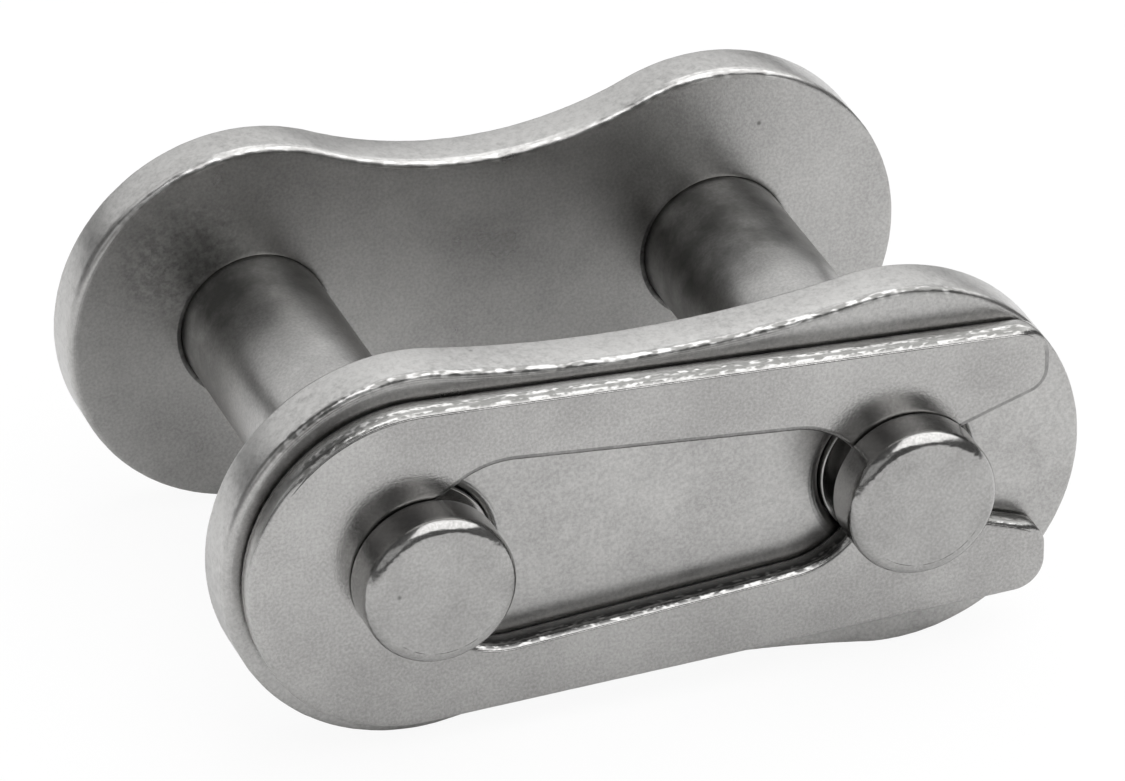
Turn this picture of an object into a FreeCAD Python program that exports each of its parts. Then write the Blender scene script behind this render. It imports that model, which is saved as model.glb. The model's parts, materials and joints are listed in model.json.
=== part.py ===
"""Roller chain connecting link: two pins riveted into a waisted back plate, a cover plate
that slips over the pins, and a flat spring clip that snaps into the grooves near their ends.

Millimetres. +X runs along the pitch, towards the clip's open end. +Y runs from the cover
plate to the back plate. +Z is up. The origin is below the middle of the link, on the surface
that the plates' round ends stand on.
"""

import FreeCAD, Part
import math
import os

# Chain size: distance between the pins, and clear width between the two plates
PITCH = 12.70
PLATE_GAP = 11.15

# Plates: round ends about the pins, joined by a hollow waist above and below
PLATE_END_RADIUS = 5.00
PLATE_THICKNESS = 1.55
BACK_WAIST_HALF_HEIGHT = 3.68
COVER_WAIST_HALF_HEIGHT = 4.47
PLATE_EDGE_ROUND = 0.12

# Holes: a press fit in the back plate, a slip fit in the cover plate
PRESS_CLEARANCE = 0.0
SLIP_CLEARANCE = 0.02
SLIP_HOLE_ROLL = 0.30

# Pins, from the riveted end at the back to the head in front of the clip
PIN_RADIUS = 1.985
RIVET_LENGTH = 0.90
RIVET_EDGE_ROUND = 0.40
GROOVE_RADIUS = 1.40
HEAD_LENGTH = 1.30
HEAD_EDGE_ROUND = 0.35
HEAD_BACK_ROUND = 0.06
SHOULDER_ROUND = 0.05

# Spring clip, a flat stamping that lies in the pins' grooves
CLIP_THICKNESS = 0.65
CLIP_TO_PLATE_CLEARANCE = 0.10
CLIP_TO_HEAD_CLEARANCE = 0.05
CLIP_END_RADIUS = 4.43
CLIP_END_SET_BACK = 0.15
CLIP_TAPER_DEG = 2.4
CLIP_TIP_REACH = 3.85
CLIP_TIP_OUTER_ROUND = 0.85
CLIP_TIP_INNER_ROUND = 0.70
CLIP_EDGE_ROUND = 0.08

# Opening of the clip: seats for the pins' necks, the slot between them, throat and mouth
SEAT_CLEARANCE = 0.03
SEAT_FUNNEL_DEG = 31.0
SLOT_MID_HALF_HEIGHT = 2.27
SLOT_TAPER_DEG = 4.6
SLOT_START_ROUND = 2.40
SLOT_END_REACH = 2.95
SEAT_ENTRY_DEG = 34.8
THROAT_HALF_GAP = 1.08
THROAT_ROUND = 0.25
SEAT_CORNER_ROUND = 0.12
MOUTH_FLARE_DEG = 18.5

# Places that follow from the sizes above
HALF_PITCH = PITCH / 2
AXIS_HEIGHT = PLATE_END_RADIUS
CLIP_SPACE = CLIP_TO_PLATE_CLEARANCE + CLIP_THICKNESS + CLIP_TO_HEAD_CLEARANCE
FRONT_REACH = PLATE_GAP / 2 + PLATE_THICKNESS + CLIP_SPACE + HEAD_LENGTH
BACK_REACH = PLATE_GAP / 2 + PLATE_THICKNESS + RIVET_LENGTH
MID_GAP = (FRONT_REACH - BACK_REACH) / 2
COVER_INNER = MID_GAP - PLATE_GAP / 2
COVER_OUTER = COVER_INNER - PLATE_THICKNESS
BACK_INNER = MID_GAP + PLATE_GAP / 2
PIN_FRONT = MID_GAP - FRONT_REACH
PIN_BACK = MID_GAP + BACK_REACH
GROOVE_FRONT = COVER_OUTER - CLIP_SPACE
CLIP_FRONT = GROOVE_FRONT + CLIP_TO_HEAD_CLEARANCE
SEAT_RADIUS = GROOVE_RADIUS + SEAT_CLEARANCE
TIP_X = HALF_PITCH + CLIP_TIP_REACH

LEFT, RIGHT = -1, 1
DEPTH = FreeCAD.Vector(0, 1, 0)
SAME_PLACE = 1e-4


def at(x, z, y=0.0):
    """A point from its distance along the pitch and its height above the pins' axes."""
    return FreeCAD.Vector(x, y, AXIS_HEIGHT + z)


def arc(start, middle, end):
    return Part.Arc(start, middle, end).toShape()


def line(start, end):
    return Part.LineSegment(start, end).toShape()


def mirrored(point):
    """The same point on the other side of the plane through both pins' axes."""
    return FreeCAD.Vector(point.x, point.y, 2 * AXIS_HEIGHT - point.z)


def slab(wire, front, thickness):
    """A flat piece with the outline of the wire, from its front face backwards."""
    solid = Part.Face(wire).extrude(DEPTH * thickness)
    solid.translate(DEPTH * front)
    return solid


def pin_bore(side, radius, front, length):
    """A cylinder about one pin's axis, from its front end backwards."""
    return Part.makeCylinder(radius, length, at(side * HALF_PITCH, 0, front), DEPTH)


def near(a, b):
    return abs(a - b) < SAME_PLACE


def rims_at(solid, depth):
    """The edges that lie in a plane square to the pins at the given depth."""
    boxes = [(e, e.BoundBox) for e in solid.Edges]
    return [e for e, box in boxes if near(box.YMin, depth) and near(box.YMax, depth)]


def is_circle(edge, radius):
    curve = edge.Curve
    return isinstance(curve, Part.Circle) and near(curve.Radius, radius)


# Plates


def waisted_outline(waist_half_height):
    """Two round ends about the pins, joined by hollow arcs that run smoothly into them."""
    end, waist = PLATE_END_RADIUS, waist_half_height
    hollow = (waist**2 + HALF_PITCH**2 - end**2) / (2 * (end - waist))
    centre_height = waist + hollow
    share = end / (end + hollow)
    join = at(HALF_PITCH * (1 - share), centre_height * share)
    far_join = FreeCAD.Vector(-join.x, join.y, join.z)
    return Part.Wire(
        [
            arc(join, at(HALF_PITCH + end, 0), mirrored(join)),
            arc(mirrored(join), at(0, -waist), mirrored(far_join)),
            arc(mirrored(far_join), at(-HALF_PITCH - end, 0), far_join),
            arc(far_join, at(0, waist), join),
        ]
    )


def plate_blank(waist_half_height, front, hole_radius):
    """A plate with both pin holes punched and its outer rims rounded by the stamping."""
    blank = slab(waisted_outline(waist_half_height), front, PLATE_THICKNESS)
    for side in (LEFT, RIGHT):
        blank = blank.cut(pin_bore(side, hole_radius, front, PLATE_THICKNESS))
    rims = rims_at(blank, front) + rims_at(blank, front + PLATE_THICKNESS)
    outer = [e for e in rims if not is_circle(e, hole_radius)]
    return blank.makeFillet(PLATE_EDGE_ROUND, outer)


def back_plate():
    return plate_blank(BACK_WAIST_HALF_HEIGHT, BACK_INNER, PIN_RADIUS + PRESS_CLEARANCE)


def cover_plate():
    """The slip-fit plate, with the rolled lead-in round each hole on its outer face."""
    hole_radius = PIN_RADIUS + SLIP_CLEARANCE
    plate = plate_blank(COVER_WAIST_HALF_HEIGHT, COVER_OUTER, hole_radius)
    lead_in = [e for e in rims_at(plate, COVER_OUTER) if is_circle(e, hole_radius)]
    return plate.makeFillet(SLIP_HOLE_ROLL, lead_in)


# Pins


def turned_corner(solid, depth):
    """The corners that run round a turned pin at one depth, at its full radius."""
    return [e for e in rims_at(solid, depth) if is_circle(e, PIN_RADIUS)]


def pin(side):
    """A plain pin with a riveted end, the groove that holds the clip, and a round-edged head."""
    stem = pin_bore(side, PIN_RADIUS, PIN_FRONT, PIN_BACK - PIN_FRONT)
    ring = pin_bore(side, 2 * PIN_RADIUS, GROOVE_FRONT, CLIP_SPACE)
    groove = ring.cut(pin_bore(side, GROOVE_RADIUS, GROOVE_FRONT, CLIP_SPACE))
    turned = stem.cut(groove)
    for depth, size in (
        (PIN_FRONT, HEAD_EDGE_ROUND),
        (GROOVE_FRONT, HEAD_BACK_ROUND),
        (COVER_OUTER, SHOULDER_ROUND),
        (PIN_BACK, RIVET_EDGE_ROUND),
    ):
        turned = turned.makeFillet(size, turned_corner(turned, depth))
    return turned


# Spring clip


def clip_side():
    """Where the straight upper side leaves the round closed end, and where it ends."""
    taper = math.radians(CLIP_TAPER_DEG)
    centre = -HALF_PITCH - CLIP_END_SET_BACK
    join_x = centre + CLIP_END_RADIUS * math.sin(taper)
    join_z = CLIP_END_RADIUS * math.cos(taper)
    return at(join_x, join_z), at(TIP_X, join_z - (TIP_X - join_x) * math.tan(taper))


def clip_outer_outline():
    """A round closed end about the left pin, and straight sides that draw in to the tips."""
    join, tip = clip_side()
    closed_end = at(-HALF_PITCH - CLIP_END_SET_BACK - CLIP_END_RADIUS, 0)
    return Part.Wire(
        [
            arc(join, closed_end, mirrored(join)),
            line(mirrored(join), mirrored(tip)),
            line(mirrored(tip), tip),
            line(tip, join),
        ]
    )


def seat_point(side, degrees):
    """A point on the wall of the seat that holds one pin's neck."""
    turn = math.radians(degrees)
    return at(side * HALF_PITCH + SEAT_RADIUS * math.cos(turn), SEAT_RADIUS * math.sin(turn))


def slot_wall(x):
    """A point on the slot's straight upper wall, which draws in towards the right pin."""
    return at(x, SLOT_MID_HALF_HEIGHT - x * math.tan(math.radians(SLOT_TAPER_DEG)))


def slot_start():
    """The corner where the left seat's sloping wall would meet the slot's straight wall."""
    funnel, taper = math.radians(SEAT_FUNNEL_DEG), math.radians(SLOT_TAPER_DEG)
    wall_at_pin = slot_wall(-HALF_PITCH).z - AXIS_HEIGHT
    run = (wall_at_pin - SEAT_RADIUS / math.cos(funnel)) / (math.tan(funnel) + math.tan(taper))
    return slot_wall(-HALF_PITCH + run)


def below(heading):
    """The direction square to a heading that points to its right-hand side."""
    return FreeCAD.Vector(heading.z, 0, -heading.x)


def arc_leaving(start, heading, end):
    """An arc from start to end that leaves start in the direction of heading."""
    chord = end - start
    radius = chord.dot(chord) / (2 * chord.dot(below(heading)))
    centre = start + below(heading) * radius
    half_way = start + chord * 0.5 - centre
    return arc(start, centre + half_way * (abs(radius) / half_way.Length), end)


def seat_corner():
    """The point where the rounded end of the slot runs into the right pin's seat."""
    return seat_point(RIGHT, 180 - SEAT_ENTRY_DEG)


def throat():
    """The narrowest place between the arms, just outside the right pin's neck."""
    return seat_point(RIGHT, math.degrees(math.asin(THROAT_HALF_GAP / SEAT_RADIUS)))


def mouth(x):
    """A point on the mouth's upper wall, which opens outwards from the throat."""
    flare = math.tan(math.radians(MOUTH_FLARE_DEG))
    return at(x, THROAT_HALF_GAP + (x - throat().x) * flare)


def clip_opening():
    """The opening from the closed end's seat out past the tips, and its corner by the seat."""
    funnel_start = seat_point(LEFT, 90 + SEAT_FUNNEL_DEG)
    slot_end = slot_wall(HALF_PITCH - SLOT_END_REACH)
    heading = (slot_end - slot_start()).normalize()
    corner = seat_corner()
    outside = mouth(TIP_X + CLIP_TIP_REACH)
    upper = [
        line(funnel_start, slot_start()),
        line(slot_start(), slot_end),
        arc_leaving(slot_end, heading, corner),
        arc(corner, seat_point(RIGHT, 90), throat()),
        line(throat(), outside),
    ]
    lower = [e.mirror(at(0, 0), FreeCAD.Vector(0, 0, 1)) for e in upper]
    closed_end = arc(funnel_start, seat_point(LEFT, 180), mirrored(funnel_start))
    edges = upper + lower + [closed_end, line(outside, mirrored(outside))]
    return Part.Wire(Part.__sortEdges__(edges)), corner


def corner_edges(solid, corner):
    """The edges through the thickness at a corner of the outline and at its mirror image."""
    found = []
    for edge in solid.Edges:
        ends = [FreeCAD.Vector(v.X, 0, v.Z) for v in edge.Vertexes]
        for point in (corner, mirrored(corner)):
            if len(ends) == 2 and all(end.distanceToPoint(point) < SAME_PLACE for end in ends):
                found.append(edge)
    return found


def spring_clip():
    """The flat clip: blank less its opening, corners eased, rims rounded by the stamping."""
    opening, slot_corner = clip_opening()
    clip = slab(clip_outer_outline(), CLIP_FRONT, CLIP_THICKNESS)
    clip = clip.cut(slab(opening, CLIP_FRONT, CLIP_THICKNESS))
    for corner, size in (
        (clip_side()[1], CLIP_TIP_OUTER_ROUND),
        (mouth(TIP_X), CLIP_TIP_INNER_ROUND),
        (throat(), THROAT_ROUND),
        (slot_start(), SLOT_START_ROUND),
        (slot_corner, SEAT_CORNER_ROUND),
    ):
        clip = clip.makeFillet(size, corner_edges(clip, corner))
    rims = rims_at(clip, CLIP_FRONT) + rims_at(clip, CLIP_FRONT + CLIP_THICKNESS)
    return clip.makeFillet(CLIP_EDGE_ROUND, rims)


def main():
    os.makedirs("parts", exist_ok=True)
    pieces = {
        "back_plate": back_plate(),
        "pin_left": pin(LEFT),
        "pin_right": pin(RIGHT),
        "cover_plate": cover_plate(),
        "spring_clip": spring_clip(),
    }
    for name, shape in pieces.items():
        solid = shape.Solids[0]
        solid.exportStep("parts/%s.step" % name)
        print(name, len(shape.Solids), solid.isValid(), round(solid.Volume, 3), solid.BoundBox)


main()
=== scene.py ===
"""Looks of a roller chain connecting link: satin plates, turned pins and a spring clip.

Metres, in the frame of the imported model: +X runs along the pitch to the clip's open end,
+Y from the cover plate to the back plate, +Z up. Outlines are drawn in millimetres, as
distance along the pitch and height above the pins' axes.
"""

import json
import logging
import math
from dataclasses import dataclass, field, replace
from enum import Enum
from typing import Any, Callable, Iterable, Sequence

import bmesh
import bpy
from mathutils import Matrix, Vector

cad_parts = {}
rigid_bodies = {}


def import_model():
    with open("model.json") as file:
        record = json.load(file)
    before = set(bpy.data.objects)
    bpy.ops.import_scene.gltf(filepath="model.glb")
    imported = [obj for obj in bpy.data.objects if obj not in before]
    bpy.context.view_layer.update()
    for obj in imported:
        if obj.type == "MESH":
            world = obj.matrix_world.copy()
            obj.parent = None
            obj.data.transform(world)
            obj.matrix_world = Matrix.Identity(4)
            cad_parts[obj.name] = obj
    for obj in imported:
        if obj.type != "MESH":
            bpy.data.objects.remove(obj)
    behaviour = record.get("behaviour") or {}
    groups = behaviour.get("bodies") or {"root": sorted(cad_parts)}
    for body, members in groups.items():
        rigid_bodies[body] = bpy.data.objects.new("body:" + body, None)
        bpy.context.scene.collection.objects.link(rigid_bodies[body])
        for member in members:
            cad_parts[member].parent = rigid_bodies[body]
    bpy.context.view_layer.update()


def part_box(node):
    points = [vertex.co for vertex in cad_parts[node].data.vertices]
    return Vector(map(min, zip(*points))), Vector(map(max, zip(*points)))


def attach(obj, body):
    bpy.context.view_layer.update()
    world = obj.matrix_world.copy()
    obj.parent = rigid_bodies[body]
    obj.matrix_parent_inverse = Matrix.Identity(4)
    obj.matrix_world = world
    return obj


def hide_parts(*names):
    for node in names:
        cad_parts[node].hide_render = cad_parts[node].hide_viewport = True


LOG = logging.getLogger("connecting_link")
MM = 0.001

# How close two points of a path are the same point, in millimetres, and two points of a
# mesh, in metres. A point is on the wall when it is further in than ON_WALL, in metres.
TOUCHING = 1e-4
DOUBLE = 1e-7
ON_WALL = 1e-6

# An edge with fewer faces than this is open, and a point with a higher mark is marked.
OPEN_BELOW = 1.5
MARKED = 0.5
NOISE_MIDDLE = 0.5
NOISE_ROUGHNESS = 0.6
UNEVEN_DETAIL = 2.0

# Names of the values on a mesh's points. The trees store the first three: how far round
# the edge a point is, how far back, and that it's on a rim. A path brings the others: MARK
# is 1 round a hole of a sheet and on the round of a pin's head, the next is where shade is
# painted, round the holes and along the clip's upper edges that look down or to the opening,
# TOP is where the edge looks up and INNER is on the slot's sheared walls.
WALL = "wall"
BACK = "back"
RIM = "rim"
MARK = "mark"
# Painted shade: darkening round the holes and along the clip's edges, where shade falls.
PAINTED_SHADE = "painted_shade"
TOP = "top"
INNER = "inner"

Point = tuple[float, float]
Colour = tuple[float, float, float]


class Side(Enum):
    """The two ends of the pitch."""

    LEFT = -1
    RIGHT = 1


class Body(Enum):
    """The bodies that the pieces ride on."""

    PIN_LINK = "pin_link"
    COVER = "cover"
    CLIP = "clip"


class Slot(Enum):
    """The record's material slots."""

    PLATE = "plate_steel"
    PIN = "pin_steel"
    CLIP = "clip_steel"


# Outlines


def arc_points(centre: Point, radius: float, start: float, end: float, step: float) -> list[Point]:
    """Points along an arc.

    Args:
        centre: The arc's centre.
        radius: Its radius.
        start: The angle that it starts at, in radians.
        end: The angle that it ends at.
        step: The longest distance between two points.

    Returns:
        The points, both ends among them.
    """
    count = max(2, math.ceil(abs(end - start) * radius / step))
    angles = [start + (end - start) * i / count for i in range(count + 1)]
    return [(centre[0] + radius * math.cos(a), centre[1] + radius * math.sin(a)) for a in angles]


def line_points(start: Point, end: Point, step: float) -> list[Point]:
    """Points along a straight line, both ends among them."""
    count = max(1, math.ceil(math.dist(start, end) / step))
    return [
        (start[0] + (end[0] - start[0]) * i / count, start[1] + (end[1] - start[1]) * i / count)
        for i in range(count + 1)
    ]


def flipped(points: Sequence[Point]) -> list[Point]:
    """The same path below the pins' axes, run the other way."""
    return [(x, -z) for x, z in reversed(points)]


def trimmed(points: Sequence[Point], length: float) -> list[Point]:
    """A path with a length cut off its end.

    Args:
        points: The path.
        length: How much of it goes.

    Returns:
        The path up to the cut, with a new end point there.
    """
    kept = list(points)
    while len(kept) > 1:
        last = math.dist(kept[-1], kept[-2])
        if last > length:
            share = length / last
            (x0, z0), (x1, z1) = kept[-1], kept[-2]
            kept[-1] = (x0 + (x1 - x0) * share, z0 + (z1 - z0) * share)
            return kept
        length -= last
        kept.pop()
    return kept


def eased(
    first: Sequence[Point], second: Sequence[Point], radius: float, step: float
) -> list[Point]:
    """Two paths that meet at a corner, joined with the corner rounded.

    Args:
        first: The path up to the corner.
        second: The path from the corner on.
        radius: The corner's radius.
        step: The distance between the points of the round.

    Returns:
        One path.
    """
    into = Vector(first[-1]) - Vector(first[-2])
    out = Vector(second[1]) - Vector(second[0])
    turn = into.angle(out)
    cut = radius * math.tan(turn / 2)
    before = trimmed(first, cut)
    after = list(reversed(trimmed(list(reversed(second)), cut)))
    start, end = Vector(before[-1]), Vector(after[0])
    leave = (start - Vector(before[-2])).normalized()
    reach = (Vector(after[1]) - end).normalized()
    handle = radius * 4 / 3 * math.tan(turn / 4)
    inner_start, inner_end = start + leave * handle, end - reach * handle
    count = max(4, math.ceil(radius * turn / step))
    bend = []
    for i in range(1, count):
        t = i / count
        s = 1 - t
        p = start * s**3 + inner_start * 3 * s * s * t + inner_end * 3 * s * t * t + end * t**3
        bend.append((p.x, p.y))
    return before + bend + after


def distinct(points: Iterable[Point]) -> list[Point]:
    """A path's points, without those that lie on the one before."""
    kept: list[Point] = []
    for point in points:
        if not kept or math.dist(kept[-1], point) > TOUCHING:
            kept.append(point)
    return kept


def joined(paths: Iterable[Sequence[Point]]) -> list[Point]:
    """Paths that follow each other as one closed loop, with no point twice."""
    loop = distinct(point for path in paths for point in path)
    while math.dist(loop[0], loop[-1]) < TOUCHING:
        loop.pop()
    return loop


def spaced(loop: Sequence[Point], step: float) -> list[Point]:
    """A closed loop with its points moved to even distances along it."""
    ring = list(loop) + [loop[0]]
    lengths = [0.0]
    for a, b in zip(ring, ring[1:]):
        lengths.append(lengths[-1] + math.dist(a, b))
    count = math.ceil(lengths[-1] / step)
    points, k = [], 0
    for i in range(count):
        target = lengths[-1] * i / count
        while lengths[k + 1] < target:
            k += 1
        share = (target - lengths[k]) / (lengths[k + 1] - lengths[k])
        (x0, z0), (x1, z1) = ring[k], ring[k + 1]
        points.append((x0 + (x1 - x0) * share, z0 + (z1 - z0) * share))
    return points


def facing(loop: Sequence[Point], direction: Point) -> list[float]:
    """How far each part of a closed outline looks towards a direction.

    Args:
        loop: The outline, run either way.
        direction: The direction, of length 1.

    Returns:
        For each point, the cosine between its outward normal and the direction.
    """
    after = list(loop[1:]) + [loop[0]]
    before = [loop[-1]] + list(loop[:-1])
    turn = math.copysign(1.0, sum(a[0] * b[1] - b[0] * a[1] for a, b in zip(loop, after)))
    found = []
    for (x0, z0), (x1, z1) in zip(before, after):
        length = math.dist((x0, z0), (x1, z1))
        found.append(turn * ((z1 - z0) * direction[0] - (x1 - x0) * direction[1]) / length)
    return found


@dataclass
class Wire:
    """A path to draw, with named values on its points. Its sizes are in millimetres."""

    points: Sequence[Point]
    closed: bool = True
    values: dict[str, Sequence[float]] = field(default_factory=dict)

    def value(self, name: str) -> list[float]:
        """The named value of each point, 0 where the path has none."""
        return list(self.values.get(name, [0.0] * len(self.points)))


# Node trees


def sum_of(operation: str, swapped: bool = False) -> Callable[[Any, Any], Any]:
    """A method that adds one sum to a value's tree.

    Args:
        operation: The sum's name in a Math node.
        swapped: Whether the value comes second.

    Returns:
        The method, which gives the sum's value.
    """

    def method(value: Any, other: Any) -> Any:
        """Adds the sum's node and gives what comes out of it."""
        sides = (other, value) if swapped else (value, other)
        return value.tree.maths(operation, *sides)

    return method


@dataclass(frozen=True)
class Value:
    """What a node's socket gives. It can stand in a sum, which adds a Math node."""

    tree: Any
    socket: Any

    __add__ = sum_of("ADD")
    __sub__ = sum_of("SUBTRACT")
    __rsub__ = sum_of("SUBTRACT", swapped=True)
    __mul__ = sum_of("MULTIPLY")
    __truediv__ = sum_of("DIVIDE")
    __rtruediv__ = sum_of("DIVIDE", swapped=True)
    __lt__ = sum_of("LESS_THAN")
    __gt__ = sum_of("GREATER_THAN")


class NodeTree:
    """A tree of nodes whose inputs are given as values, sockets or plain numbers."""

    clamped: bool = False

    def __init__(self, tree: Any) -> None:
        """Takes the tree that the nodes are added to."""
        self.tree = tree

    def feed(self, socket: Any, value: Any) -> None:
        """Links a value to an input, or sets the input's own value."""
        source = value.socket if isinstance(value, Value) else value
        if isinstance(source, bpy.types.NodeSocket):
            self.tree.links.new(source, socket)
        else:
            socket.default_value = source

    def add(self, kind: str, inputs: dict[Any, Any] | None = None, **settings: Any) -> Any:
        """Adds a node.

        Args:
            kind: The node's type.
            inputs: Its inputs by name or place, each a value to link or to set.
            settings: Its other settings.

        Returns:
            The node.
        """
        node = self.tree.nodes.new(kind)
        for key, value in settings.items():
            setattr(node, key, value)
        for key, value in (inputs or {}).items():
            self.feed(node.inputs[key], value)
        return node

    def out(
        self, kind: str, inputs: dict[Any, Any] | None = None, pick: Any = 0, **settings: Any
    ) -> Value:
        """Adds a node and gives what comes out of it, at the picked name or place."""
        return Value(self, self.add(kind, inputs, **settings).outputs[pick])

    def maths(self, operation: str, a: Any, b: Any = 0.0) -> Value:
        """One sum of two values, clamped where the tree's sums are."""
        settings = {"operation": operation, "use_clamp": self.clamped}
        return self.out("ShaderNodeMath", {0: a, 1: b}, **settings)


class GeometryTree(NodeTree):
    """A Geometry Nodes tree that is put together by name."""

    def __init__(self, name: str) -> None:
        """Makes the empty tree, with its geometry sockets and its group input."""
        super().__init__(bpy.data.node_groups.new(name, "GeometryNodeTree"))
        for way in ("OUTPUT", "INPUT"):
            self.tree.interface.new_socket(
                "Geometry", in_out=way, socket_type="NodeSocketGeometry"
            )
        self.source = self.tree.nodes.new("NodeGroupInput")

    def size(self, name: str, kind: str = "NodeSocketFloat") -> Value:
        """Adds a named input to the tree.

        Args:
            name: The input's name.
            kind: The type of its socket.

        Returns:
            Its value.
        """
        self.tree.interface.new_socket(name, in_out="INPUT", socket_type=kind)
        return Value(self, self.source.outputs[name])

    def choice(self, items: Sequence[Any], data_type: str) -> Value:
        """A value picked by the point's number along its curve.

        Args:
            items: The value for each point.
            data_type: VECTOR or FLOAT.

        Returns:
            The value.
        """
        node = self.add("GeometryNodeIndexSwitch", data_type=data_type)
        for _ in range(len(items) - len(node.index_switch_items)):
            node.index_switch_items.new()
        self.feed(node.inputs["Index"], self.out("GeometryNodeInputIndex"))
        for i, item in enumerate(items):
            self.feed(node.inputs[i + 1], item)
        return Value(self, node.outputs[0])

    def store(self, geometry: Any, name: str, value: Any) -> Value:
        """Keeps a value on the points under a name, and gives the geometry on."""
        inputs = {"Geometry": geometry, "Name": name, "Value": value}
        settings = {"data_type": "FLOAT", "domain": "POINT"}
        return self.out("GeometryNodeStoreNamedAttribute", inputs, **settings)

    def named(self, name: str) -> Value:
        """The value that the points have under a name."""
        return self.out("GeometryNodeInputNamedAttribute", {"Name": name}, data_type="FLOAT")

    def point(self, x: Any, y: Any) -> Value:
        """A vector from two values."""
        return self.out("ShaderNodeCombineXYZ", {"X": x, "Y": y})

    def level(self) -> Value:
        """The height of the points, 0 at a sheet's front and less towards its back."""
        place = self.out("GeometryNodeInputPosition")
        return self.out("ShaderNodeSeparateXYZ", {0: place}, pick=2)

    def curves(self, mesh: Any, chosen: Any = True) -> Value:
        """The chosen edges of a mesh as curves."""
        return self.out("GeometryNodeMeshToCurve", {"Mesh": mesh, "Selection": chosen})

    def swept(self, curve: Any, profile: Any) -> Value:
        """A profile swept along a flat curve, which it stands upright on."""
        flat = self.out("GeometryNodeSetCurveNormal", {"Curve": curve}, mode="Z_UP")
        return self.out("GeometryNodeCurveToMesh", {"Curve": flat, "Profile Curve": profile})

    def merged(self, geometry: Any) -> Value:
        """The geometry with its double points merged."""
        inputs = {"Geometry": geometry, "Distance": DOUBLE}
        return self.out("GeometryNodeMergeByDistance", inputs)

    def joined(self, parts: Iterable[Any]) -> Value:
        """Several geometries as one."""
        node = self.add("GeometryNodeJoinGeometry")
        for part in parts:
            self.feed(node.inputs[0], part)
        return Value(self, node.outputs[0])

    def finish(self, geometry: Any, centre: Any, material: Any) -> Any:
        """Smooths the piece, stands it upright in its place and ends the tree.

        Args:
            geometry: The sheet or lathe work, lying flat.
            centre: Where it goes.
            material: Its material.

        Returns:
            The finished tree, which ends in Realize Instances and Set Material.
        """
        smooth = self.out("GeometryNodeSetShadeSmooth", {"Geometry": self.merged(geometry)})
        upright = {"Rotation": (math.pi / 2, 0.0, 0.0), "Translation": centre}
        stood = self.out("GeometryNodeTransform", {"Geometry": smooth, **upright})
        real = self.out("GeometryNodeRealizeInstances", {"Geometry": stood})
        dressed = self.out("GeometryNodeSetMaterial", {"Geometry": real, "Material": material})
        self.add("NodeGroupOutput", {0: dressed})
        return self.tree


def swept_rim(
    tree: GeometryTree,
    loops: Value,
    rounds: tuple[Value, Value],
    land: Value,
    depth: Value,
    steps: Value,
) -> Value:
    """Sweeps a punched edge along loops: a land on each face, two rounds and the cut wall.

    Args:
        tree: The tree that it is built in.
        loops: The loops as curves.
        rounds: The rounds at the front and the back.
        land: How far the edge reaches onto the flat faces past the rounds.
        depth: The sheet's thickness.
        steps: How many steps each round has.

    Returns:
        The swept mesh.
    """
    front, back = rounds
    ends = ((front + land) * -1.0, 0.0), (0.0, 0.0), (0.0, depth), ((back + land) * -1.0, depth)
    places = [tree.point(x, y) for x, y in ends]
    bar = tree.out("GeometryNodeMeshLine", {"Count": len(places)}, mode="OFFSET")
    bent = {"Geometry": bar, "Position": tree.choice(places, "VECTOR")}
    shape = tree.out("GeometryNodeSetPosition", bent)
    ended = tree.store(shape, RIM, tree.choice([0.0, 1.0, 1.0, 0.0], "FLOAT"))
    radius = tree.choice([0.0, front, back, 0.0], "FLOAT")
    rounding = {"Curve": tree.curves(ended), "Count": steps, "Radius": radius}
    return tree.swept(loops, tree.out("GeometryNodeFilletCurve", rounding, mode="POLY"))


def face_fill(tree: GeometryTree, rims: Value, depth: Value, back: bool) -> Value:
    """Fills the flat face between the open edges of the swept rims.

    Args:
        tree: The tree that it is built in.
        rims: All the rims.
        depth: The sheet's thickness.
        back: Whether it is the back face.

    Returns:
        The face.
    """
    level, middle = tree.level(), depth * -0.5
    on_side = level < middle if back else level > middle
    is_open = tree.out("GeometryNodeInputMeshEdgeNeighbors") < OPEN_BELOW
    border = tree.curves(rims, on_side * is_open)
    filled = tree.out("GeometryNodeFillCurve", {"Curve": border}, mode="TRIANGLES")
    if not back:
        return filled
    turned = tree.out("GeometryNodeFlipFaces", {"Mesh": filled})
    drop = tree.out("ShaderNodeCombineXYZ", {"Z": depth * -1.0})
    return tree.out("GeometryNodeTransform", {"Geometry": turned, "Translation": drop})


def uneven(tree: GeometryTree, geometry: Value, chosen: Value) -> Value:
    """Moves points in and out a little, so that an edge catches the light in broken dots.

    Args:
        tree: The tree that it is built in. It gets inputs for the height and grain of the
            unevenness and for its seed.
        geometry: The mesh.
        chosen: The points that move.

    Returns:
        The uneven mesh.
    """
    height, grain, seed = tree.size("Unevenness"), tree.size("Grain"), tree.size("Seed")
    inputs = {"W": seed, "Scale": 1.0 / grain, "Detail": UNEVEN_DETAIL}
    inputs["Roughness"] = NOISE_ROUGHNESS
    noise = tree.out("ShaderNodeTexNoise", inputs, pick="Fac", noise_dimensions="4D")
    inputs = {0: tree.out("GeometryNodeInputNormal"), "Scale": (noise - NOISE_MIDDLE) * height}
    shift = tree.out("ShaderNodeVectorMath", inputs, operation="SCALE")
    moved = {"Geometry": geometry, "Selection": chosen, "Offset": shift}
    return tree.out("GeometryNodeSetPosition", moved)


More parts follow.
